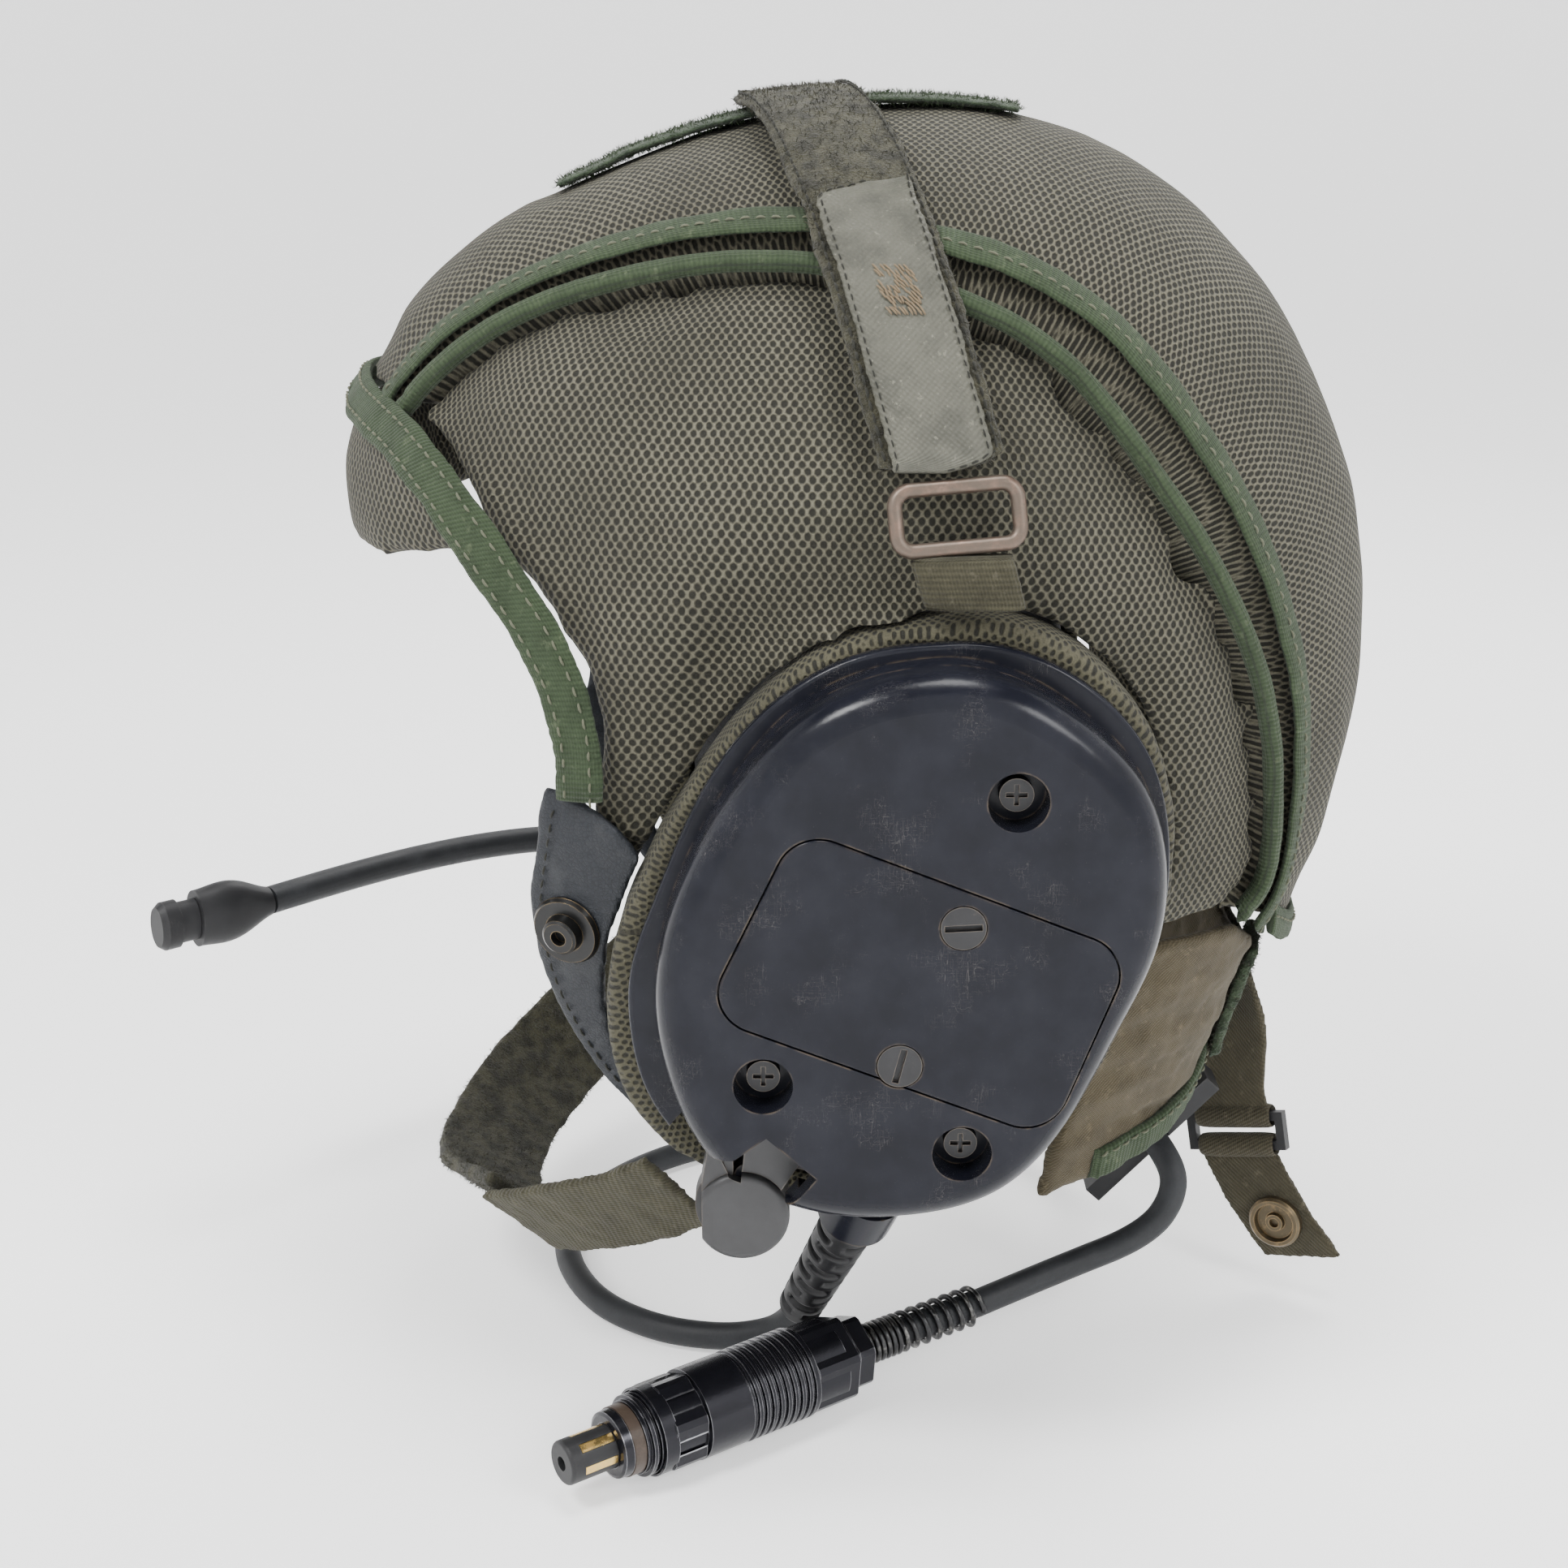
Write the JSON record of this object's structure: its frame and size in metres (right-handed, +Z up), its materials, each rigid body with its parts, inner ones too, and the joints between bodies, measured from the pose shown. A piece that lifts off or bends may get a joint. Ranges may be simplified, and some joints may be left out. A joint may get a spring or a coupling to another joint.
{
  "type": "radio headphones",
  "caption": "Soft mesh communications helmet with two ear cups, a boom microphone, snap straps and a plug-ended lead; covers lift off, the boom tilts and straps swing.",
  "frame": {"origin": "midway between the two ear cups, on the axis through the ears", "axes": "+X to the wearer's left, +Y to the back of the head, +Z up"},
  "size_m": [0.2277, 0.2956, 0.2904],
  "materials": {
    "mesh_fabric": "matte woven mesh",
    "binding": "matte tape",
    "pile": "fuzzy pile",
    "hook_tape": "smooth hook tape",
    "elastic": "ribbed elastic",
    "knit": "padded knit",
    "twill": "wrinkled twill",
    "webbing": "webbing",
    "leather": "worn grey leather",
    "cushion": "soft black",
    "cup_plastic": "scratched gloss",
    "grey_metal": "satin dark grey",
    "screw_steel": "worn dark steel",
    "ring_metal": "worn antique finish",
    "stud": "worn black with a brass edge",
    "anodised": "black anodised, edges worn bright",
    "rubber": "matte",
    "black_plastic": "matte",
    "spring": "dark steel",
    "gold": "gold plated",
    "seal": "brownish"
  },
  "bodies": {
    "harness": {"baffle_plates": "black_plastic", "brow_pad": "mesh_fabric", "cheek_patch_left": "leather", "cheek_patch_right": "leather", "cheek_studs": "stud", "chin_strap_left": "twill", "chin_strap_right": "pile", "contacts": "gold", "cover_screws": "screw_steel", "crest_strip": "binding", "crown_panel": "mesh_fabric", "cup_cover_left": "cup_plastic", "cup_cover_right": "cup_plastic", "cup_shell_left": "cup_plastic", "cup_shell_right": "cup_plastic", "cup_straps": "elastic", "ear_cushion_left": "cushion", "ear_cushion_right": "cushion", "ear_pocket_left": "knit", "ear_pocket_right": "knit", "face_binding": "binding", "gland_nut": "anodised", "lead": "rubber", "lead_boot": "rubber", "lead_clip": "black_plastic", "lead_core": "rubber", "lead_gland": "cup_plastic", "liner_pads": "mesh_fabric", "nape_flap": "twill", "nape_tab": "pile", "plug_body": "anodised", "plug_spring": "spring", "probe": "black_plastic", "rear_binding": "binding", "receivers": "black_plastic", "seal_ring": "seal", "seam_piping_left": "binding", "seam_piping_right": "binding", "side_panel_left": "mesh_fabric", "side_panel_right": "mesh_fabric", "strap_overlays": "hook_tape", "strap_rings": "ring_metal", "top_strap": "pile"},
    "access_cover_left": {"access_cover_left": "cup_plastic"},
    "access_cover_right": {"access_cover_right": "cup_plastic"},
    "coin_screw_upper_left": {"coin_screw_upper_left": "screw_steel"},
    "coin_screw_lower_left": {"coin_screw_lower_left": "screw_steel"},
    "coin_screw_upper_right": {"coin_screw_upper_right": "screw_steel"},
    "coin_screw_lower_right": {"coin_screw_lower_right": "screw_steel"},
    "boom": {"boom_swivel_right": "grey_metal", "boom_hub": "black_plastic", "boom_arm": "rubber", "mic_housing": "black_plastic", "mic_capsule": "black_plastic"},
    "swivel_left": {"boom_swivel_left": "grey_metal"},
    "nape_strap": {"nape_strap_upper": "webbing", "nape_link": "black_plastic"},
    "nape_end": {"nape_strap_lower": "webbing", "nape_snap": "ring_metal"},
    "coupling_nut": {"coupling_nut": "anodised"}
  },
  "joints": [
    {"name": "access_cover_left_lift", "type": "slide", "parent": "harness", "child": "access_cover_left", "axis": [1, 0, 0], "range_m": [0, 0.015]},
    {"name": "coin_screw_upper_left_turn", "type": "hinge", "parent": "access_cover_left", "child": "coin_screw_upper_left", "pos_m": [0.112, 0.0082, 0.003], "axis": [1, 0, 0], "range_deg": [0, 90]},
    {"name": "coin_screw_lower_left_turn", "type": "hinge", "parent": "access_cover_left", "child": "coin_screw_lower_left", "pos_m": [0.112, -0.0039, -0.0265], "axis": [1, 0, 0], "range_deg": [0, 90]},
    {"name": "access_cover_right_lift", "type": "slide", "parent": "harness", "child": "access_cover_right", "axis": [-1, 0, 0], "range_m": [0, 0.015]},
    {"name": "coin_screw_upper_right_turn", "type": "hinge", "parent": "access_cover_right", "child": "coin_screw_upper_right", "pos_m": [-0.112, 0.0082, 0.003], "axis": [-1, 0, 0], "range_deg": [0, 90]},
    {"name": "coin_screw_lower_right_turn", "type": "hinge", "parent": "access_cover_right", "child": "coin_screw_lower_right", "pos_m": [-0.112, -0.0039, -0.0265], "axis": [-1, 0, 0], "range_deg": [0, 90]},
    {"name": "boom_tilt", "type": "hinge", "parent": "harness", "child": "boom", "pos_m": [-0.0965, -0.0345, -0.058], "axis": [1, 0, 0], "range_deg": [0, 40]},
    {"name": "swivel_left_turn", "type": "hinge", "parent": "harness", "child": "swivel_left", "pos_m": [0.0965, -0.0345, -0.058], "axis": [1, 0, 0], "range_deg": [0, 40]},
    {"name": "nape_strap_swing", "type": "hinge", "parent": "harness", "child": "nape_strap", "pos_m": [-0.0015, 0.0835, -0.038], "axis": [1, 0, 0], "range_deg": [0, 30]},
    {"name": "nape_end_swing", "type": "hinge", "parent": "nape_strap", "child": "nape_end", "pos_m": [0.00889, 0.08669, -0.09576], "axis": [0.5009, 0.8315, 0.2404], "range_deg": [0, 30]},
    {"name": "coupling_nut_turn", "type": "hinge", "parent": "harness", "child": "coupling_nut", "pos_m": [0.09471, -0.05211, -0.12], "axis": [0.5865, -0.8099, 0], "continuous": true}
  ]
}
